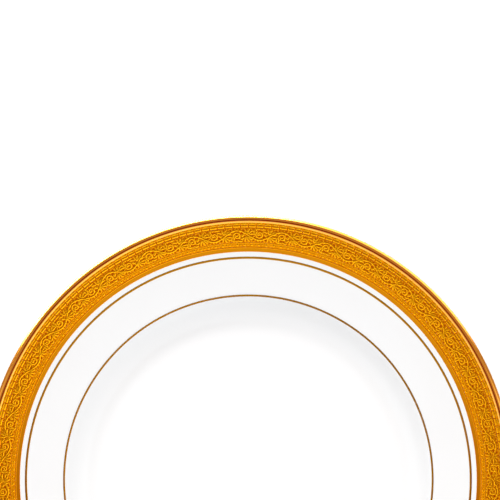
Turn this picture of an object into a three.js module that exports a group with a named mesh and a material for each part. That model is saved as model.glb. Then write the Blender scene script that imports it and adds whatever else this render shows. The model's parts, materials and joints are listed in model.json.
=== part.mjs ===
// A rimmed china dinner plate: a fired body under two coats of glaze, with a gilded lip, an encrusted
// gold border laid in five rows, and two gold hairlines. Every piece is turned about the plate's axis.
// Millimetres, +Z up. The origin is the centre of the foot rim, where the plate meets the table.
import * as THREE from "three";

// Driving dimensions of the plate
const PLATE_RADIUS = 135;
const RIM_HEIGHT = 20.2; // height of the rim's face where the lip begins
const WELL_HEIGHT = 5.6; // height of the well's floor
const WELL_FLAT_RADIUS = 70; // the floor is flat as far as here
const VERGE_RADIUS = 93.2; // where the well's wall turns out into the rim
const VERGE_HEIGHT = 14.2;
const WALL_THICKNESS = 3.3;
const LIP_START = 130.6; // where the rim's face meets the polished lip

// Lip: it climbs from the rim's face to a crest, falls away in a bevel and rounds under to the back
const CREST_OUT = 1.25; // from the start of the lip out to its highest line
const CREST_RISE = 0.36; // of that line above the start of the lip
const CREST_CURVE = 3; // radius of the section from the crest to the bevel
const BEVEL_FALL = (33 * Math.PI) / 180;
const EDGE_CURVE = 1.6; // radius of the section round the plate's edge

// Foot ring
const FOOT_OUTER_RADIUS = 81;
const FOOT_INNER_RADIUS = 77.6;
const FOOT_DRAFT = 0.9; // how far each side of the foot leans in towards its rim
const FOOT_ROOT_RISE = 1.4; // of the back over the base, where it meets the outside of the foot
const FOOT_CORNER = [1.2, 0.5]; // cut of the corner between the base and the foot, along and down
const BARE_HEIGHT = 0.6; // the glaze is wiped off the foot up to here
const BARE_CHAMFER = 0.4;

// Coats
const GLAZE = 0.2;
const GOLD = 0.15;
const GAP = 0.02; // keeps coats that touch from sharing volume

// Gold rows, as [inner radius, outer radius], all on the rim's straight face
const GOLD_ROWS = {
  verge_hairline: [93.2, 93.95],
  rim_hairline: [112.35, 113.25],
  inner_border: [115.8, 118.3],
  pearl_row: [118.35, 120.6],
  scroll_frieze: [120.65, 127.9],
  dash_row: [127.95, 129.35],
  bead_row: [129.4, 130.55],
};

const TURN_STEPS = 60; // facets round the axis
const WALL_STEPS = 5; // facets across the well's wall
const CREST_STEPS = 2; // facets from the crest to the bevel
const EDGE_STEPS = 4; // facets round the edge

const china = new THREE.MeshStandardMaterial({ color: 0xf6f5f2, roughness: 0.08, metalness: 0 });
const biscuit = new THREE.MeshStandardMaterial({ color: 0xe9e6de, roughness: 0.85, metalness: 0 });
const polishedGold = new THREE.MeshStandardMaterial({ color: 0xe59a12, roughness: 0.15, metalness: 1 });
const mattGold = new THREE.MeshStandardMaterial({ color: 0xd88a0a, roughness: 0.4, metalness: 1 });

const point = (radius, height) => new THREE.Vector2(radius, height);

// Height of the rim's straight face, from the verge out to the lip
const RIM_SLOPE = (RIM_HEIGHT - VERGE_HEIGHT) / (LIP_START - VERGE_RADIUS);
const rimFace = (radius) => VERGE_HEIGHT + (radius - VERGE_RADIUS) * RIM_SLOPE;

// The well's wall is an arc that leaves the floor level and climbs to the verge.
function wellWall() {
  const run = VERGE_RADIUS - WELL_FLAT_RADIUS;
  const rise = VERGE_HEIGHT - WELL_HEIGHT;
  const arcRadius = (run * run + rise * rise) / (2 * rise);
  const sweep = Math.asin(run / arcRadius);
  return Array.from({ length: WALL_STEPS + 1 }, (_, i) => {
    const turn = (sweep * i) / WALL_STEPS;
    return point(
      WELL_FLAT_RADIUS + arcRadius * Math.sin(turn),
      WELL_HEIGHT + arcRadius * (1 - Math.cos(turn)),
    );
  });
}

// Points on an arc that turns a walker who goes outward from level by one angle to another, downward
const fallingArc = (centre, radius, from, to, steps) =>
  Array.from({ length: steps + 1 }, (_, i) => {
    const fall = from + ((to - from) * i) / steps;
    return point(centre.x + radius * Math.sin(fall), centre.y + radius * Math.cos(fall));
  });

// The lip from the rim's face, over the crest and down the bevel, to the underside of the edge
function lip() {
  const crest = point(LIP_START + CREST_OUT, RIM_HEIGHT + CREST_RISE);
  const over = fallingArc(point(crest.x, crest.y - CREST_CURVE), CREST_CURVE, 0, BEVEL_FALL, CREST_STEPS);
  const bevelTop = over[over.length - 1];
  const edgeX = PLATE_RADIUS - EDGE_CURVE;
  const bevelFootX = edgeX + EDGE_CURVE * Math.sin(BEVEL_FALL);
  const bevelFootY = bevelTop.y - (bevelFootX - bevelTop.x) * Math.tan(BEVEL_FALL);
  const edge = point(edgeX, bevelFootY - EDGE_CURVE * Math.cos(BEVEL_FALL));
  return [
    point(LIP_START, RIM_HEIGHT),
    ...over,
    ...fallingArc(edge, EDGE_CURVE, BEVEL_FALL, Math.PI, EDGE_STEPS),
  ];
}

// Moves an outline to its right by a distance, keeping its corners mitred.
function offset(outline, distance) {
  return outline.map((here, i) => {
    const before = outline[Math.max(i - 1, 0)];
    const after = outline[Math.min(i + 1, outline.length - 1)];
    const arriving = here.clone().sub(i ? before : here.clone().multiplyScalar(2).sub(after)).normalize();
    const leaving = (i < outline.length - 1 ? after.clone().sub(here) : arriving.clone()).normalize();
    const along = arriving.add(leaving).normalize();
    const mitre = distance / Math.max(along.dot(leaving), 0.5);
    const moved = point(here.x + along.y * mitre, here.y - along.x * mitre);
    return here.x === 0 ? point(0, here.y - Math.sign(along.x) * distance) : moved;
  });
}

const BASE_HEIGHT = WELL_HEIGHT - WALL_THICKNESS;

// The glazed outline from the middle of the well, over the lip, and down the back to the bare foot.
// It runs clockwise, so offset() with a positive distance goes into the china. The back leaves out the
// points over the foot ring.
const back = offset([...wellWall(), point(LIP_START, RIM_HEIGHT)], WALL_THICKNESS)
  .slice(3, -1)
  .reverse();
const faceOutline = [
  point(0, WELL_HEIGHT),
  ...wellWall(),
  ...lip(),
  ...back,
  point(FOOT_OUTER_RADIUS + FOOT_DRAFT, BASE_HEIGHT + FOOT_ROOT_RISE),
  point(FOOT_OUTER_RADIUS, BARE_HEIGHT),
];

// The glazed outline inside the foot ring, from its bare rim to the middle of the base
const [cornerRun, cornerDrop] = FOOT_CORNER;
const baseOutline = [
  point(FOOT_INNER_RADIUS, BARE_HEIGHT),
  point(FOOT_INNER_RADIUS - FOOT_DRAFT, BASE_HEIGHT - cornerDrop),
  point(FOOT_INNER_RADIUS - FOOT_DRAFT - cornerRun, BASE_HEIGHT),
  point(0, BASE_HEIGHT),
];

// The foot's bare rim, chamfered on both sides of the flat that it stands on
const bareRim = [
  point(FOOT_OUTER_RADIUS - GLAZE - BARE_CHAMFER, 0),
  point(FOOT_INNER_RADIUS + GLAZE + BARE_CHAMFER, 0),
];

const plate = new THREE.Group();

// Turns a closed profile about the plate's axis into a named mesh with its faces outward.
function turned(name, profile, material) {
  const area = THREE.ShapeUtils.area(profile);
  const ordered = area < 0 ? profile.slice().reverse() : profile.slice();
  const closed = ordered.some((p) => p.x === 0) ? onAxisFirst(ordered) : [...ordered, ordered[0]];
  const mesh = new THREE.Mesh(new THREE.LatheGeometry(closed, TURN_STEPS).rotateX(Math.PI / 2), material);
  mesh.name = name;
  plate.add(mesh);
}

// Rolls a profile that meets the axis, so that it starts and ends on the axis.
function onAxisFirst(profile) {
  const count = profile.length;
  const first = profile.findIndex((p, i) => p.x === 0 && profile[(i + count - 1) % count].x === 0);
  return profile.map((_, i) => profile[(first + i) % count]);
}

// A coat of a given thickness over an outline, lying on the china's side of it
const coat = (outline, thickness) => [...outline, ...offset(outline, thickness).reverse()];

turned(
  "china_body",
  [...offset(faceOutline, GLAZE + GAP), ...bareRim, ...offset(baseOutline, GLAZE + GAP)],
  biscuit,
);
turned("face_glaze", coat(faceOutline, GLAZE), china);
turned("base_glaze", coat(baseOutline, GLAZE), china);

// Each gold row is a flat ring lying on the slope of the rim.
for (const [name, [inner, outer]] of Object.entries(GOLD_ROWS)) {
  const seat = [point(inner, rimFace(inner)), point(outer, rimFace(outer))];
  const material = name.endsWith("row") || name.endsWith("frieze") ? mattGold : polishedGold;
  turned(name, [...offset(seat, -GAP), ...offset(seat, -GAP - GOLD).reverse()], material);
}

// The gilding covers the lip's crest and bevel, and stops where the white edge begins to round under.
const gildedLip = lip().slice(0, -EDGE_STEPS);
turned(
  "gilded_lip",
  [...offset(gildedLip, -GAP), ...offset(gildedLip, -GAP - GOLD).reverse()],
  polishedGold,
);

export default plate;
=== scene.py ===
"""A rimmed china dinner plate: a fired body, two coats of glaze, a gilded lip, an encrusted gold border
in five rows and two gold hairlines. Each CAD node is dressed by one fine mesh in the same place.
Lengths are in metres; MM turns a millimetre into one."""

import json
import math

import bmesh
import bpy
import numpy as np
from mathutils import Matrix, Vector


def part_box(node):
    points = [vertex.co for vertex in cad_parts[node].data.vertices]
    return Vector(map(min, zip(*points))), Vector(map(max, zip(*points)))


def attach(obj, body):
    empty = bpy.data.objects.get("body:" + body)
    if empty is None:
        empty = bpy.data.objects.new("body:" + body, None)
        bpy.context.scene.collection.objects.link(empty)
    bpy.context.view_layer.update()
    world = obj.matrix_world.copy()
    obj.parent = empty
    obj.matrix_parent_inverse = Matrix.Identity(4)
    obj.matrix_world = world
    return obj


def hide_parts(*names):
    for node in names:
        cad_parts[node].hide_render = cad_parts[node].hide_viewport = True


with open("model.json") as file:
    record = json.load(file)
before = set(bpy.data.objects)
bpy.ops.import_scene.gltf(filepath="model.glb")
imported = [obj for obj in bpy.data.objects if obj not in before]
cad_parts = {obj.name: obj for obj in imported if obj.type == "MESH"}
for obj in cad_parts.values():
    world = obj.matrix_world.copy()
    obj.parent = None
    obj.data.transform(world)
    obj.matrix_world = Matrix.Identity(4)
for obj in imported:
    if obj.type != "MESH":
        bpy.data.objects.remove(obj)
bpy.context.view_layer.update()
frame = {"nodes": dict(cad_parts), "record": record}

MM = 0.001
TURN = 2 * math.pi

# Turned surfaces
CHINA_SEGMENTS = 480
GOLD_SEGMENTS = 720
ARC_STEPS = 24  # points along a wall
FILLET_STEPS = 10
CLIMB_STEPS = 8  # points where the lip levels off below its crest
CREST_STEPS = 12  # points from the crest to the bevel
BEVEL_STEPS = 10
EDGE_STEPS = 24  # points round the plate's edge
CHAMFER_STEPS = 6  # points round each side of the foot's bare rim
SAME_POINT = 0.002 * MM  # points of an outline that lie closer than this are one
SHARP_ANGLE = math.radians(50)  # faces that meet at more than this keep a sharp edge

# Coats
GLAZE = 0.2 * MM
GAP = 0.02 * MM  # air between coats, as in the CAD
GOLD = 0.13 * MM  # thickness of the gold on the lip
GOLD_TAPER = 0.1 * MM  # it thins out over this distance to the bevel's foot
BAND_GOLD = 0.05 * MM  # thickness of the gold in the inner border and under the relief
LINE_GOLD = 0.052 * MM  # thickness of a hairline
LINE_SPREAD = 0.1 * MM  # how far a hairline's gold runs beyond each of its edges
ROW_GAP = 0.05 * MM  # between neighbouring gold rows, as in the CAD

# The face and the lip, beyond what the CAD's rings and mounts give
WELL_FLAT_RADIUS = 70 * MM
VERGE_BLEND = 2.4 * MM  # how far the well's wall rounds over before the rim
CREST_OUT = 1.25 * MM  # from the start of the lip out to its highest line
CREST_RISE = 0.36 * MM
CREST_EASE = 0.45 * MM  # the climb from the rim levels off from this far before the crest
CREST_CURVE = 3 * MM  # radius of the section from the crest to the bevel
BEVEL_FALL = math.radians(33)
EDGE_CURVE = 1.6 * MM  # radius of the section round the plate's edge

# The back and the foot ring
WALL_THICKNESS = 3.3 * MM
BACK_TURN_OUT = 1.2 * MM  # the back turns out under the rim this far outside the verge
BACK_TURN_THICKNESS = 0.94 * WALL_THICKNESS
BACK_EASE = 9 * MM  # the underside of the rim keeps the rim's slope this far out from there
BACK_SWELL = np.array((6.3, 5.3)) * MM  # in and down from the turn to the bend of the back's curve
FOOT_HALF_WIDTH = 1.7 * MM
FOOT_DRAFT = 0.9 * MM  # how far each side of the foot leans
FOOT_ROOT_RISE = 1.4 * MM  # of the back over the base, where it meets the outside of the foot
FOOT_FILLET = 1.2 * MM
BARE_HEIGHT = 0.6 * MM  # the glaze stops this far above the table
BARE_CHAMFER = 0.4 * MM
BARE_CHAMFER_RISE = 0.56 * MM

# The gold border
SCROLLS = 34  # scrolls round the plate
BEADS = 6 * SCROLLS
CREASE_REACH = 10  # rounds of blurring that tell a crease from its surroundings
CREASE_DEPTH = 0.09 * MM  # a point this far below its surroundings is a full crease
FINER = 3  # the relief is drawn this much finer than the mesh, then evened out


# ---------------------------------------------------------------- measures taken from the frame

def ring(node):
    """Inner and outer radius of a turned CAD node."""
    reach = [math.hypot(v.co.x, v.co.y) for v in frame["nodes"][node].data.vertices]
    return min(reach), max(reach)


def mount(name):
    """Place of one of the record's mounts."""
    return next(m["pos_m"] for m in frame["record"]["mounts"] if m["name"] == name)


VERGE_RADIUS = ring("verge_hairline")[0]
VERGE_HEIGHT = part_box("verge_hairline")[0][2] - GAP
LIP_START = ring("bead_row")[1] + ROW_GAP
PLATE_RADIUS = ring("face_glaze")[1]
WELL_HEIGHT = mount("well_floor")[2]
BASE_HEIGHT = WELL_HEIGHT - WALL_THICKNESS
FOOT_MIDDLE = mount("foot_rim")[0]
RIM_ANGLE = math.atan2(
    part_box("bead_row")[0][2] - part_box("verge_hairline")[0][2],
    ring("bead_row")[0] - VERGE_RADIUS,
)


def rim_face(radius):
    """Height of the rim's straight face."""
    return VERGE_HEIGHT + (radius - VERGE_RADIUS) * math.tan(RIM_ANGLE)


# ---------------------------------------------------------------- outlines, as (radius, height) arrays

def arc(centre, radius, start, end, steps=ARC_STEPS):
    """Points on a circle from one angle to another."""
    angle = np.linspace(start, end, steps + 1)
    return np.column_stack([centre[0] + radius * np.cos(angle), centre[1] + radius * np.sin(angle)])


def bezier(start, control, end, steps=ARC_STEPS):
    """A quadratic curve that leaves and arrives along the lines to its control point."""
    t = np.linspace(0, 1, steps + 1)[:, None]
    return (1 - t) ** 2 * np.array(start) + 2 * t * (1 - t) * np.array(control) + t**2 * np.array(end)


def chain(*parts):
    """Joins outlines end to end and drops the points that they share."""
    points = np.vstack([np.atleast_2d(part) for part in parts])
    keep = np.ones(len(points), bool)
    keep[1:] = np.linalg.norm(np.diff(points, axis=0), axis=1) > SAME_POINT
    return points[keep]


def offset(outline, distance):
    """Moves an open outline to its right, with mitred corners that are kept short where they are
    sharp. An end on the axis stays on the axis."""
    steps = np.diff(outline, axis=0)
    steps /= np.linalg.norm(steps, axis=1)[:, None]
    arriving = np.vstack([steps[:1], steps])
    leaving = np.vstack([steps, steps[-1:]])
    along = arriving + leaving
    along /= np.linalg.norm(along, axis=1)[:, None]
    mitre = distance / np.maximum((along * leaving).sum(axis=1), 0.6)
    moved = outline + np.column_stack([along[:, 1], -along[:, 0]]) * mitre[:, None]
    moved[outline[:, 0] == 0, 0] = 0
    return moved


def well_wall():
    """The arc from the well's floor up to the verge, rounded over into the rim."""
    run = VERGE_RADIUS - WELL_FLAT_RADIUS
    rise = VERGE_HEIGHT - WELL_HEIGHT
    radius = (run**2 + rise**2) / (2 * rise)
    sweep = math.asin(run / radius)
    cut = VERGE_BLEND / radius / math.cos(sweep)
    centre = (WELL_FLAT_RADIUS, WELL_HEIGHT + radius)
    wall = arc(centre, radius, -math.pi / 2, sweep - math.pi / 2 - cut)
    outside = VERGE_RADIUS + VERGE_BLEND
    over = bezier(wall[-1], (VERGE_RADIUS, VERGE_HEIGHT), (outside, rim_face(outside)))
    return chain(wall, over)


FACE = chain((0, WELL_HEIGHT), well_wall(), (LIP_START, rim_face(LIP_START)))
CREST = np.array([LIP_START + CREST_OUT, rim_face(LIP_START) + CREST_RISE])


def falling_arc(centre, radius, start, end, steps):
    """Points where a section that goes outward falls from one slope to another."""
    return arc(centre, radius, math.pi / 2 - start, math.pi / 2 - end, steps)


def lip():
    """From the rim's face, up over the crest and down the bevel, to the underside of the edge."""
    start = np.array((LIP_START, rim_face(LIP_START)))
    bend = CREST - (CREST_EASE, 0)
    climb = chain(start, bezier(start + (bend - start) * 0.6, bend, CREST, CLIMB_STEPS))
    over = falling_arc(CREST - (0, CREST_CURVE), CREST_CURVE, 0, BEVEL_FALL, CREST_STEPS)
    edge_x = PLATE_RADIUS - EDGE_CURVE
    foot_x = edge_x + EDGE_CURVE * math.sin(BEVEL_FALL)
    foot_y = over[-1, 1] - (foot_x - over[-1, 0]) * math.tan(BEVEL_FALL)
    edge = (edge_x, foot_y - EDGE_CURVE * math.cos(BEVEL_FALL))
    round_edge = falling_arc(edge, EDGE_CURVE, BEVEL_FALL, math.pi, EDGE_STEPS)
    bevel = bezier(over[-1], (over[-1] + round_edge[0]) / 2, round_edge[0], BEVEL_STEPS)
    return chain(climb, over, bevel, round_edge[1:])


def face_outline():
    """The glaze's surface from the middle of the well, over the lip, to the outside of the foot."""
    turn = np.array((VERGE_RADIUS + BACK_TURN_OUT, VERGE_HEIGHT - BACK_TURN_THICKNESS))
    under_rim = bezier(lip()[-1], turn + BACK_EASE * np.array((1, math.tan(RIM_ANGLE))), turn)
    foot_outer = FOOT_MIDDLE + FOOT_HALF_WIDTH
    foot_root = np.array((foot_outer + FOOT_DRAFT, BASE_HEIGHT + FOOT_ROOT_RISE))
    foot_edge = np.array((foot_outer, BARE_HEIGHT))
    back_wall, before_root = np.split(bezier(turn, turn - BACK_SWELL, foot_root), [-6])
    back = before_root[0] - foot_root
    fillet_start = foot_root + back * FOOT_FILLET / np.hypot(*back)
    fillet_end = foot_root + (foot_edge - foot_root) * 0.45
    return chain(
        (0, WELL_HEIGHT),
        (WELL_FLAT_RADIUS / 2, WELL_HEIGHT),
        well_wall(),
        lip(),
        under_rim,
        back_wall,
        bezier(fillet_start, foot_root, fillet_end, FILLET_STEPS),
        foot_edge,
    )


def base_outline():
    """The glaze's surface inside the foot ring, from the foot's edge to the middle of the base."""
    inner = FOOT_MIDDLE - FOOT_HALF_WIDTH
    corner = (inner - FOOT_DRAFT, BASE_HEIGHT)
    foot_edge = (inner, BARE_HEIGHT)
    fillet_start = (inner - FOOT_DRAFT * 0.6, BASE_HEIGHT - FOOT_FILLET * 0.6)
    fillet_end = (corner[0] - FOOT_FILLET, BASE_HEIGHT)
    return chain(foot_edge, bezier(fillet_start, corner, fillet_end, FILLET_STEPS), (0, BASE_HEIGHT))


# ---------------------------------------------------------------- meshes

def add_piece(name, vertices, faces, node, material, **point_values):
    """Makes a closed mesh stand for a CAD node, with its normals out and its corners sharp.
    Each of point_values is kept on the mesh for its material."""
    mesh = bpy.data.meshes.new(name)
    mesh.from_pydata(vertices.tolist(), [], faces)
    for key, values in point_values.items():
        mesh.attributes.new(key, "FLOAT", "POINT").data.foreach_set("value", values)
    work = bmesh.new()
    work.from_mesh(mesh)
    bmesh.ops.recalc_face_normals(work, faces=work.faces)
    work.to_mesh(mesh)
    work.free()
    mesh.shade_smooth()
    mesh.set_sharp_from_angle(angle=SHARP_ANGLE)
    mesh.materials.append(material)
    piece = bpy.data.objects.new(name, mesh)
    bpy.context.scene.collection.objects.link(piece)
    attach(piece, "root")
    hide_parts(node)
    return piece


def turned(name, profile, node, material, segments, wander=None):
    """Turns a closed profile about Z. An end pair on the axis becomes two poles.
    wander(angle) shifts the whole profile in and out by a distance."""
    poles = profile[0, 0] == 0 and profile[-1, 0] == 0
    rim = profile[1:-1] if poles else profile
    angle = np.arange(segments) * TURN / segments
    shift = wander(angle)[:, None] if wander else np.zeros((segments, 1))
    radius = rim[None, :, 0] + shift
    x = radius * np.cos(angle)[:, None]
    y = radius * np.sin(angle)[:, None]
    z = rim[None, :, 1] + shift * math.tan(RIM_ANGLE)
    vertices = np.stack([x, y, z], axis=-1).reshape(-1, 3)
    count = len(rim)
    here = np.arange(segments)[:, None] * count
    after = (np.arange(segments)[:, None] + 1) % segments * count
    along = np.arange(count - 1 if poles else count)[None, :]
    beyond = (along + 1) % count
    faces = np.stack([here + along, after + along, after + beyond, here + beyond], axis=-1)
    faces = faces.reshape(-1, 4).tolist()
    if poles:
        start, end = len(vertices), len(vertices) + 1
        vertices = np.vstack([vertices, [0, 0, profile[0, 1]], [0, 0, profile[-1, 1]]])
        for i in range(segments):
            j = (i + 1) % segments
            faces.append([start, j * count, i * count])
            faces.append([end, i * count + count - 1, j * count + count - 1])
    return add_piece(name, vertices, faces, node, material)


def relief_ring(name, node, material, tile, repeats):
    """A ring of gold lying on the rim, whose top rises by a tile of heights set side by side.
    tile[column, row] runs clockwise and outwards."""
    inner, outer = ring(node)
    columns, rows = tile.shape
    heights = np.tile(tile, (repeats, 1))
    angle = -TURN * np.arange(columns * repeats) / (columns * repeats)
    radius = np.linspace(inner, outer, rows)

    def lifted(seat_radius, rise):
        out = seat_radius - rise * math.sin(RIM_ANGLE)
        up = rim_face(seat_radius) + rise * math.cos(RIM_ANGLE)
        up = np.broadcast_to(up, out.shape)
        return np.stack([out * np.cos(angle)[:, None], out * np.sin(angle)[:, None], up], axis=-1)

    top = lifted(radius[None, :], GAP + BAND_GOLD + heights)
    flat = np.full((len(angle), 1), GAP)
    inside = lifted(inner, flat)
    outside = lifted(outer, flat)
    vertices = np.concatenate([top, outside, inside], axis=1).reshape(-1, 3)
    around = rows + 2
    here = np.arange(len(angle))[:, None] * around
    after = (np.arange(len(angle))[:, None] + 1) % len(angle) * around
    along = np.arange(around)[None, :]
    beyond = (along + 1) % around
    faces = np.stack([here + along, here + beyond, after + beyond, after + along], axis=-1)
    # How far each point lies below its surroundings; the gold's material paints it dark as painted shade.
    hollow = np.clip((blurred(tile, CREASE_REACH) - tile) / CREASE_DEPTH, 0, 1)
    level, crease = np.zeros((2, len(angle), around))
    level[:, :rows] = heights / tile.max()
    crease[:, :rows] = np.tile(hollow, (repeats, 1))
    faces = faces.reshape(-1, 4).tolist()
    return add_piece(name, vertices, faces, node, material, relief=level.ravel(), crease=crease.ravel())


# ---------------------------------------------------------------- relief drawn in millimetres

def smooth_curve(points, steps=10):
    """A Catmull-Rom curve through points."""
    p = np.array([points[0], *points, points[-1]], float)
    t = np.linspace(0, 1, steps, endpoint=False)[:, None]
    pieces = []
    for a, b, c, d in zip(p, p[1:], p[2:], p[3:]):
        pieces.append(
            0.5 * (2 * b + (c - a) * t + (2 * a - 5 * b + 4 * c - d) * t**2 + (3 * b - a - 3 * c + d) * t**3)
        )
    return np.vstack([*pieces, p[-1:]])


def ridge(x, y, points, widths, height, vein, period):
    """Height of a rounded ridge along a curve, its half width running through widths.
    vein is the depth of a groove along its middle. The ridge repeats along x with the period."""
    curve = smooth_curve(points)
    width = np.interp(np.linspace(0, 1, len(curve)), np.linspace(0, 1, len(widths)), widths)
    result = np.zeros_like(x)
    for shift in (-period, 0, period):
        gap = np.hypot(x[..., None] - curve[:, 0] - shift, y[..., None] - curve[:, 1]) / width
        nearest = gap.min(axis=-1)
        body = np.clip(1 - nearest**2, 0, 1) ** 0.8
        groove = vein * np.exp(-((nearest / 0.28) ** 2))
        result = np.maximum(result, body * (1 - groove) * height)
    return result


def tile_size(node, repeats):
    """Length round the rim and depth across it of one of a gold row's repeats."""
    inner, outer = ring(node)
    return TURN * (inner + outer) / 2 / MM / repeats, (outer - inner) / MM


def grid(columns, rows, length, depth):
    """Places of a tile's points, FINER times as close as the mesh: x runs clockwise and y outwards."""
    x = np.arange(columns * FINER) * length / columns / FINER
    y = np.linspace(0, depth, (rows - 1) * FINER + 1)
    return np.meshgrid(x, y, indexing="ij")


def blurred(tile, rounds):
    """Evens out a tile, which joins up with itself along x and ends at its edges along y."""
    for _ in range(rounds):
        tile = (np.roll(tile, 1, axis=0) + 2 * tile + np.roll(tile, -1, axis=0)) / 4
        wide = np.pad(tile, ((0, 0), (1, 1)), mode="edge")
        tile = (wide[:, :-2] + 2 * wide[:, 1:-1] + wide[:, 2:]) / 4
    return tile


def coarse(tile):
    """A tile at the mesh's own spacing, in metres, from one drawn in millimetres."""
    return blurred(tile, 2)[::FINER, ::FINER] * MM


def edge_fade(y, depth, width):
    """0 at the tile's inner and outer edges, 1 from a width inside them."""
    near = np.clip(np.minimum(y, depth - y) / width, 0, 1)
    return near**2 * (3 - 2 * near)


def scroll_tile():
    """One wave of a vine with a curl under its crest, a curl over its trough, and leaves between."""
    length, depth = tile_size("scroll_frieze", SCROLLS)
    x, y = grid(92, 30, length, depth)
    middle, swing = depth / 2, 0.33 * depth
    vine_width, vine_height, vine_groove = 0.42, 0.34, 0.3
    leaf_height, leaf_groove = 0.32, 0.45

    def draw(points, widths, height, vein=0.0):
        return ridge(x, y, points, widths, height, vein, length)

    def spray(centre, near, far, angles, bend, width):
        """Leaves that spread from a centre, each bent sideways on its way out."""
        leaves = []
        for angle in angles:
            turned_by = np.array((0, 0.5, 1)) * bend + angle
            reach = np.array((near, (near + far) / 2, far))
            points = np.column_stack([np.cos(turned_by), np.sin(turned_by)]) * reach[:, None] + centre
            leaves.append(draw(points, (width * 0.6, width, width * 0.35), leaf_height, leaf_groove))
        return leaves

    wave = np.linspace(0, 1, 17)
    vine = np.column_stack([wave * length, middle + swing * np.sin(TURN * wave)])
    parts = [draw(vine, (vine_width, vine_width), vine_height, vine_groove)]
    for place, side in ((0.25, 1), (0.75, -1)):
        centre = np.array((place * length, middle - side * 0.35))
        turn = np.linspace(0, 1, 12)
        angle = side * (math.pi * 1.25 - turn * TURN * 1.2)
        size = 2.0 - 1.2 * turn
        curl = centre + np.column_stack([np.cos(angle), np.sin(angle)]) * size[:, None]
        curl_widths = (vine_width, vine_width, vine_width - 0.04, vine_width)
        parts.append(draw(curl, curl_widths, vine_height, vine_groove))
        berry_width, berry_height = 0.48, 0.36
        parts.append(draw([centre, centre + (0.01, 0)], (berry_width, berry_width), berry_height))
        below = np.radians(np.arange(-168, 0, 32)) * side
        parts += spray(centre, 2.6, 3.8, below, 0.5 * side, 0.58)
        beside = np.array(((place + 0.25) * length, middle))
        parts += spray(beside, 0.9, 3.3, np.radians(np.arange(35, 150, 36)), -0.5, 0.56)
        parts += spray(beside, 0.9, 3.3, np.radians(np.arange(-145, -30, 36)), 0.5, 0.56)
    ornament = np.maximum.reduce(parts)

    rows, columns, seed_height = 5, 14, 0.20
    clear = np.clip(1 - blurred(ornament, 6) / 0.12, 0, 1)
    ground = np.zeros_like(x)
    for i in range(rows):
        for j in range(columns):
            centre = np.array(((j + i % 2 / 2) / columns * length, (i + 0.5) / rows * depth))
            lean = 1 if (i + j) % 2 else -1
            seed = [centre + (-0.45, -0.35 * lean), centre + (0, 0.1 * lean), centre + (0.45, 0.35 * lean)]
            ground = np.maximum(ground, draw(seed, (0.2, 0.36, 0.16), seed_height))
    edge_width = 0.35
    return coarse(np.maximum(ornament, ground * clear) * edge_fade(y, depth, edge_width))


def bead_tile():
    """One bead that narrows towards the lip, with a three-cornered hollow at each side of it."""
    length, depth = tile_size("bead_row", BEADS)
    x, y = grid(24, 10, length, depth)
    height = 0.20
    half = length * np.interp(y, (0.20, 0.90), (0.48, 0.22))
    across = np.clip(1 - y / (0.25 * depth), 0, 1)
    return coarse(height * np.sqrt(np.clip(1 - ((x - length / 2) / half) ** 4 - across**2, 0, 1)))


def dash_tile():
    """One raised bar, with a gap at each end and a hollow line at each side."""
    length, depth = tile_size("dash_row", BEADS)
    x, y = grid(18, 9, length, depth)
    height, half_length, half_width = 0.3, 0.43 * length, 0.56
    along = np.clip(1 - (np.abs(x - length / 2) / half_length) ** 6, 0, 1)
    across = np.clip(1 - ((y - depth / 2) / half_width) ** 2, 0, 1)
    return coarse(height * np.sqrt(along) * across)


def pearl_tile():
    """One pearl and one reel, with a fine line outside them."""
    length, depth = tile_size("pearl_row", BEADS)
    x, y = grid(18, 15, length, depth)
    middle, size = 0.95, 0.62
    pearl_height, reel_height, line_height = 0.13, 0.10, 0.10
    pearl = np.clip(1 - ((x - length / 2) ** 2 + (y - middle) ** 2) / size**2, 0, 1)
    far = np.minimum(x, length - x)
    reel = np.clip(1 - (far / size) ** 4, 0, 1) * np.clip(1 - ((y - middle) / 0.34) ** 2, 0, 1)
    line = np.clip(1 - ((y - depth + 0.42) / 0.2) ** 2, 0, 1)
    shapes = [pearl_height * np.sqrt(pearl), reel_height * np.sqrt(reel), line_height * np.sqrt(line)]
    return coarse(np.maximum.reduce(shapes))


# ---------------------------------------------------------------- materials

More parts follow.
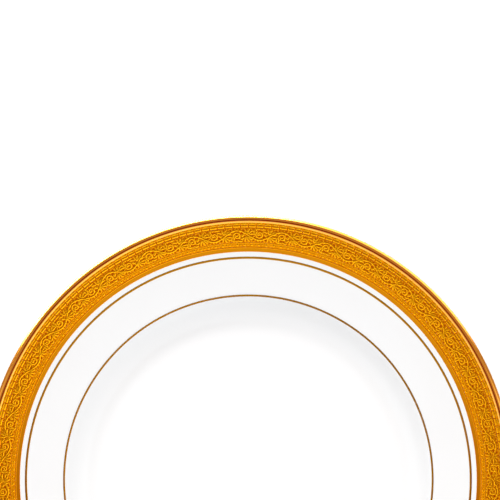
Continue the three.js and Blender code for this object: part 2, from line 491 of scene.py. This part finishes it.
class Nodes:
    """Short names for building a node tree."""

    def __init__(self, tree):
        self.tree = tree

    def add(self, kind, **settings):
        node = self.tree.nodes.new("ShaderNode" + kind)
        for key, value in settings.items():
            setattr(node, key, value)
        return node

    def feed(self, socket, value):
        """Links an output to a socket, or sets the socket to a plain value."""
        if isinstance(value, bpy.types.NodeSocket):
            self.tree.links.new(value, socket)
        else:
            socket.default_value = value

    def math(self, operation, *values):
        node = self.add("Math", operation=operation)
        for socket, value in zip(node.inputs, values):
            self.feed(socket, value)
        return node.outputs[0]

    def ramp(self, value, low, high, to_low=0.0, to_high=1.0):
        """A smooth step of a value between two limits, which may run either way."""
        node = self.add("MapRange", interpolation_type="SMOOTHSTEP")
        keys = ("Value", "From Min", "From Max", "To Min", "To Max")
        for key, given in zip(keys, (value, low, high, to_low, to_high)):
            self.feed(node.inputs[key], given)
        return node.outputs["Result"]

    def mix(self, factor, first, second):
        """A colour between two colours."""
        node = self.add("Mix", data_type="RGBA")
        colours = [socket for socket in node.inputs if socket.type == "RGBA"]
        self.feed(node.inputs["Factor"], factor)
        self.feed(colours[0], first)
        self.feed(colours[1], second)
        return next(socket for socket in node.outputs if socket.type == "RGBA")

    def product(self, *factors):
        """All the factors multiplied together."""
        result = factors[0]
        for factor in factors[1:]:
            result = self.math("MULTIPLY", result, factor)
        return result

    def noise(self, size, detail, roughness=0.5):
        """Noise whose features are about a size across."""
        node = self.add("TexNoise")
        node.inputs["Scale"].default_value = 1 / size
        node.inputs["Detail"].default_value = detail
        node.inputs["Roughness"].default_value = roughness
        self.feed(node.inputs["Vector"], self.place())
        return node.outputs["Fac"]

    def place(self):
        """The point on the plate, in metres."""
        return self.add("TexCoord").outputs["Object"]

    def radius(self):
        """Distance from the plate's axis."""
        flat = self.add("VectorMath", operation="MULTIPLY")
        self.feed(flat.inputs[0], self.place())
        flat.inputs[1].default_value = (1, 1, 0)
        length = self.add("VectorMath", operation="LENGTH")
        self.feed(length.inputs[0], flat.outputs[0])
        return length.outputs["Value"]

    def rings(self, size):
        """Fine lines round the plate's axis, about a size apart, as turning and burnishing leave."""
        node = self.add("TexNoise", noise_dimensions="1D")
        node.inputs["Scale"].default_value = 1 / size
        node.inputs["Detail"].default_value = 3
        self.feed(node.inputs["W"], self.radius())
        return node.outputs["Fac"]

    def bump(self, height, depth, before=None):
        """Dents a surface by a height field whose full range is a depth."""
        node = self.add("Bump")
        node.inputs["Strength"].default_value = 1.0
        node.inputs["Distance"].default_value = depth
        self.feed(node.inputs["Height"], height)
        if before:
            self.feed(node.inputs["Normal"], before)
        return node.outputs["Normal"]


def new_material(name):
    """A node material with its Principled shader."""
    material = bpy.data.materials.new(name)
    material.use_nodes = True
    nodes = Nodes(material.node_tree)
    return material, nodes, material.node_tree.nodes["Principled BSDF"].inputs


def glazed_china():
    """White china under a clear gloss glaze, with faint clouds and a faint orange peel. The colour grows
    whiter from just inside the verge to the flat of the well: painted shade on the wall, painted light in
    the well."""
    material, nodes, shader = new_material("glazed_china")
    clouds = nodes.noise(22 * MM, 3)
    wall_and_rim_white = nodes.mix(clouds, (0.744, 0.762, 0.772, 1), (0.764, 0.782, 0.792, 1))
    # Painted light and shade: the wall is darker towards the verge and the flat of the well is whiter.
    painted_light_well_white = (0.800, 0.816, 0.826, 1)
    in_well = nodes.ramp(nodes.radius(), VERGE_RADIUS - 2 * MM, WELL_FLAT_RADIUS)
    nodes.feed(shader["Base Color"], nodes.mix(in_well, wall_and_rim_white, painted_light_well_white))
    smear = nodes.noise(6 * MM, 4)
    nodes.feed(shader["Roughness"], nodes.ramp(smear, 0.3, 0.7, 0.05, 0.11))
    shader["IOR"].default_value = 1.52
    shader["Specular IOR Level"].default_value = 0.32
    peel = nodes.bump(nodes.noise(3.2 * MM, 2), 0.004 * MM)
    nodes.feed(shader["Normal"], nodes.bump(nodes.noise(0.7 * MM, 1), 0.0006 * MM, before=peel))
    return material


def biscuit():
    """The fired body where the glaze is wiped away: matt, finely grained, greyed in patches."""
    material, nodes, shader = new_material("biscuit")
    grain = nodes.noise(0.25 * MM, 4)
    stain = nodes.noise(9 * MM, 4)
    body = nodes.mix(grain, (0.70, 0.68, 0.63, 1), (0.82, 0.80, 0.76, 1))
    grey = (0.58, 0.56, 0.52, 1)
    nodes.feed(shader["Base Color"], nodes.mix(nodes.ramp(stain, 0.45, 0.7), body, grey))
    nodes.feed(shader["Roughness"], nodes.ramp(grain, 0.3, 0.7, 0.72, 0.9))
    turning = nodes.bump(nodes.rings(0.3 * MM), 0.015 * MM)
    nodes.feed(shader["Normal"], nodes.bump(grain, 0.02 * MM, before=turning))
    return material


def etched_gold():
    """Gold over an etched ground: satin and stippled in the hollows, burnished on the relief, whose lighter
    tone is partly the burnished gold and partly a painted highlight, and darker in the creases as painted
    shade."""
    material, nodes, shader = new_material("etched_gold")
    relief = nodes.add("Attribute", attribute_name="relief").outputs["Fac"]
    crease = nodes.add("Attribute", attribute_name="crease").outputs["Fac"]
    tone = nodes.noise(5 * MM, 4)
    pits = nodes.noise(0.45 * MM, 4, roughness=0.7)
    stipple = nodes.add("TexVoronoi")
    stipple.inputs["Scale"].default_value = 1 / (0.42 * MM)
    nodes.feed(stipple.inputs["Vector"], nodes.place())
    fleck = nodes.ramp(nodes.noise(1.0 * MM, 2, roughness=0.6), 0.38, 0.62)
    patchy = nodes.math("MULTIPLY_ADD", fleck, 0.6, nodes.math("MULTIPLY", tone, 0.4))
    hollow = nodes.mix(patchy, (0.70, 0.208, 0.001, 1), (0.94, 0.330, 0.001, 1))
    # The relief's lighter colour: partly the burnished gold's own tone, partly a painted highlight on the
    # ridge tops.
    proud_with_painted_highlight = nodes.mix(tone, (0.95, 0.41, 0.003, 1), (1.00, 0.47, 0.006, 1))
    # A dark gold laid into the creases: painted shade.
    painted_crease_shade = (0.42, 0.075, 0.001, 1)
    raised = nodes.ramp(relief, 0.06, 0.5)
    shaded = nodes.ramp(crease, 0.1, 0.8, 0.0, 0.95)
    colour = nodes.mix(raised, hollow, proud_with_painted_highlight)
    nodes.feed(shader["Base Color"], nodes.mix(shaded, colour, painted_crease_shade))
    shader["Metallic"].default_value = 1.0
    rough = nodes.ramp(raised, 0.0, 1.0, 0.34, 0.17)
    speckle = nodes.ramp(pits, 0.35, 0.65, -0.04, 0.06)
    nodes.feed(shader["Roughness"], nodes.math("ADD", rough, speckle))
    ground = nodes.math("ADD", pits, nodes.math("MULTIPLY", stipple.outputs["Distance"], 0.6))
    depth = nodes.math("MULTIPLY", ground, nodes.ramp(raised, 0.0, 1.0, 1.0, 0.3))
    nodes.feed(shader["Normal"], nodes.bump(depth, 0.12 * MM))
    return material


def polished_gold(name, dark, light, lacquer):
    """Burnished gold between two tones, with fine lines round the plate and a slightly uneven shine,
    under a clear coat of a given weight."""
    material, nodes, shader = new_material(name)
    tone = nodes.noise(7 * MM, 4)
    nodes.feed(shader["Base Color"], nodes.mix(tone, dark, light))
    shader["Metallic"].default_value = 1.0
    lines = nodes.rings(0.12 * MM)
    cloud = nodes.noise(1.6 * MM, 3)
    nodes.feed(shader["Roughness"], nodes.ramp(nodes.math("ADD", lines, cloud), 0.7, 1.3, 0.09, 0.18))
    nodes.feed(shader["Normal"], nodes.bump(lines, 0.0012 * MM))
    shader["Coat Weight"].default_value = lacquer
    shader["Coat Roughness"].default_value = 0.05
    shader["Coat IOR"].default_value = 1.6
    return material


def white_floor():
    """A pale table, lit a little from within as a light table is."""
    material, nodes, shader = new_material("white_floor")
    tone = nodes.noise(60 * MM, 3)
    nodes.feed(shader["Base Color"], nodes.mix(tone, (0.93, 0.93, 0.93, 1), (0.96, 0.96, 0.96, 1)))
    shader["Roughness"].default_value = 0.9
    shader["Specular IOR Level"].default_value = 0.0
    shader["Emission Color"].default_value = (1, 1, 1, 1)
    shader["Emission Strength"].default_value = 0.22
    return material


# ---------------------------------------------------------------- the plate

china = glazed_china()
bare = biscuit()
relief_gold = etched_gold()
plain_gold = polished_gold("polished_gold", (0.82, 0.295, 0.003, 1), (0.88, 0.325, 0.006, 1), 0.0)
lip_gold = polished_gold("polished_lip_gold", (0.84, 0.32, 0.003, 1), (0.90, 0.35, 0.006, 1), 1.0)
# The two hairlines' golds are much darker copies of the polished gold: painted shade.
rim_line_gold = polished_gold("rim_line_gold", (0.48, 0.21, 0.004, 1), (0.58, 0.26, 0.008, 1), 0.0)
verge_line_gold = polished_gold("verge_line_gold", (0.19, 0.072, 0.001, 1), (0.25, 0.098, 0.002, 1), 0.0)


def foot_rim():
    """The bare rim that the plate stands on, from its outer edge to its inner edge."""
    half = FOOT_HALF_WIDTH - GLAZE - GAP
    outer = FOOT_MIDDLE + half
    inner = FOOT_MIDDLE - half
    return chain(
        bezier((outer, BARE_CHAMFER_RISE), (outer, 0), (outer - BARE_CHAMFER, 0), CHAMFER_STEPS),
        bezier((inner + BARE_CHAMFER, 0), (inner, 0), (inner, BARE_CHAMFER_RISE), CHAMFER_STEPS),
    )


def build_china():
    """The fired body and the two coats of glaze on it."""
    face = face_outline()
    base = base_outline()
    skin = GLAZE + GAP
    body = chain(offset(face, skin), foot_rim(), offset(base, skin))
    turned("fired_body", body, "china_body", bare, CHINA_SEGMENTS)
    for name, outline, thickness, node in (
        ("glaze_on_face_and_back", face, GLAZE, "face_glaze"),
        ("glaze_inside_foot", base[::-1], -GLAZE, "base_glaze"),
    ):
        profile = np.vstack([outline, offset(outline, thickness)[::-1]])
        turned(name, profile, node, china, CHINA_SEGMENTS)


def on_rim(radius, rise):
    """A closed profile lying on the glaze, with an even gap below it."""
    seat = np.column_stack([radius, np.interp(radius, FACE[:, 0], FACE[:, 1]) + GAP])
    up = np.array((-math.sin(RIM_ANGLE), math.cos(RIM_ANGLE)))
    return np.vstack([seat + rise[:, None] * up, seat[::-1]])


def build_lip():
    """Gold over the lip's crest and bevel, which thins out at the bevel's foot."""
    wrapped = lip()[:-EDGE_STEPS]
    thinning = np.clip((wrapped[-1, 0] - wrapped[:, 0]) / GOLD_TAPER, 0.1, 1)
    seat = offset(wrapped, -GAP)
    top = seat + (offset(wrapped, -GAP - GOLD) - seat) * thinning[:, None]
    profile = np.vstack([top, seat[::-1]])
    turned("gilded_lip_coat", profile, "gilded_lip", lip_gold, GOLD_SEGMENTS)


def build_inner_border():
    """A plain band with one fine bead along its outer side."""
    inner, outer = ring("inner_border")
    width = outer - inner
    taper = 0.08 * MM
    bead_inside, bead_half_width, bead_height = 0.30 * MM, 0.26 * MM, 0.05 * MM
    across = np.linspace(0, width, 41)
    rise = BAND_GOLD * np.clip(np.minimum(across, width - across) / taper, 0.2, 1)
    bead = (across - width + bead_inside) / bead_half_width
    rise += bead_height * np.sqrt(np.clip(1 - bead**2, 0, 1))
    profile = on_rim(inner + across, rise)
    turned("inner_border_band", profile, "inner_border", plain_gold, GOLD_SEGMENTS)


def build_hairlines():
    """Two hairlines whose course strays a little, as a line drawn on a turning plate does."""
    points = 15
    stray = 0.03 * MM
    for name, node, material, waves in (
        ("rim_hairline_band", "rim_hairline", rim_line_gold, (3, 7)),
        ("verge_hairline_band", "verge_hairline", verge_line_gold, (4, 9)),
    ):
        inner, outer = ring(node)
        radius = np.linspace(inner - LINE_SPREAD, outer + LINE_SPREAD, points)
        rise = LINE_GOLD * (1 - 0.8 * np.linspace(-1, 1, points) ** 8)

        def wander(angle, long=waves[0], short=waves[1]):
            return stray * (np.sin(long * angle) + 0.6 * np.sin(short * angle + 1))

        piece = turned(name, on_rim(radius, rise), node, material, GOLD_SEGMENTS, wander)


def build_relief_rows():
    """The four rows of the border that stand out in relief."""
    for name, node, tile, repeats in (
        ("scroll_frieze_relief", "scroll_frieze", scroll_tile(), SCROLLS),
        ("bead_row_relief", "bead_row", bead_tile(), BEADS),
        ("dash_row_relief", "dash_row", dash_tile(), BEADS),
        ("pearl_row_relief", "pearl_row", pearl_tile(), BEADS),
    ):
        relief_ring(name, node, relief_gold, tile, repeats)


build_china()
build_lip()
build_inner_border()
build_hairlines()
build_relief_rows()


# ---------------------------------------------------------------- studio

def build_floor():
    """A wide square table top at the height that the plate stands on."""
    reach = 8.0
    mesh = bpy.data.meshes.new("floor")
    corners = [(-reach, -reach, 0), (reach, -reach, 0), (reach, reach, 0), (-reach, reach, 0)]
    mesh.from_pydata(corners, [], [(0, 1, 2, 3)])
    mesh.materials.append(white_floor())
    floor = bpy.data.objects.new("floor", mesh)
    bpy.context.scene.collection.objects.link(floor)


def build_light_tent():
    """A tent of white cloth round the plate, as its gloss mirrors it: a pale panel over the near side, a
    belt of brighter panels round the near half, a bright panel behind whose lower edge is a brighter
    strip, and a warm, dark opening overhead. The tent and the table are the only lights."""
    world = bpy.data.worlds.new("light_tent")
    world.use_nodes = True
    bpy.context.scene.world = world
    nodes = Nodes(world.node_tree)
    split = nodes.add("SeparateXYZ")
    nodes.feed(split.inputs[0], nodes.add("TexCoord").outputs["Generated"])
    x, y, z = split.outputs  # of a direction one unit long: to the right, to the back and up
    aside = nodes.math("ABSOLUTE", x)

    cloth = nodes.mix(nodes.ramp(z, 0.40, 0.32), (0.54, 0.44, 0.37, 1), (0.60, 0.57, 0.54, 1))

    near_top = (0.82, 0.83, 0.84, 1)
    in_near_top = nodes.product(
        nodes.ramp(aside, 0.24, 0.32, 1.0, 0.0), nodes.ramp(y, 0.0, -0.15), nodes.ramp(z, 0.05, 0.2)
    )
    colour = nodes.mix(in_near_top, cloth, near_top)

    low_belt = nodes.mix(nodes.ramp(x, -0.6, 0.6), (0.95, 0.96, 0.97, 1), (1.75, 1.77, 1.79, 1))
    high_belt = nodes.mix(nodes.ramp(x, -0.3, 0.3), (1.66, 1.70, 1.75, 1), (2.10, 2.14, 2.19, 1))
    belt = nodes.mix(nodes.ramp(z, 0.54, 0.60), low_belt, high_belt)
    in_belt = nodes.product(nodes.ramp(z, 0.0, 0.06), nodes.ramp(z, 0.84, 0.76), nodes.ramp(y, 0.30, 0.10))
    colour = nodes.mix(in_belt, colour, belt)

    back_left = nodes.mix(nodes.ramp(z, 0.47, 0.43), (6, 6, 6, 1), (20, 20, 20, 1))
    back = nodes.mix(nodes.ramp(x, 0.05, 0.30), back_left, (3.2, 3.2, 3.2, 1))
    in_back = nodes.product(
        nodes.ramp(z, 0.58, 0.50), nodes.ramp(z, 0.36, 0.385), nodes.ramp(y, 0.42, 0.52)
    )
    colour = nodes.mix(in_back, colour, back)

    opening = (0.23, 0.012, 0.002, 1)
    in_opening = nodes.ramp(z, math.cos(math.radians(15)), math.cos(math.radians(11)))
    colour = nodes.mix(in_opening, colour, opening)

    background = world.node_tree.nodes["Background"]
    nodes.feed(background.inputs["Color"], colour)
    background.inputs["Strength"].default_value = 1.0


def build_camera():
    """Straight above the far half of the rim, through a long lens."""
    view_width = 253.3 * MM  # that the picture shows at the height of the rim's edge
    aim = (0.85 * MM, 116.65 * MM)  # the point on the plate under the middle of the picture
    camera = bpy.data.cameras.new("camera")
    camera.lens = 400
    camera.sensor_width = 36
    camera.clip_end = 50
    rig = bpy.data.objects.new("camera", camera)
    rig.location = (*aim, rim_face(LIP_START) + view_width * camera.lens / camera.sensor_width)
    bpy.context.scene.collection.objects.link(rig)
    bpy.context.scene.camera = rig


build_floor()
build_light_tent()
build_camera()
bpy.context.scene.view_settings.view_transform = "Standard"
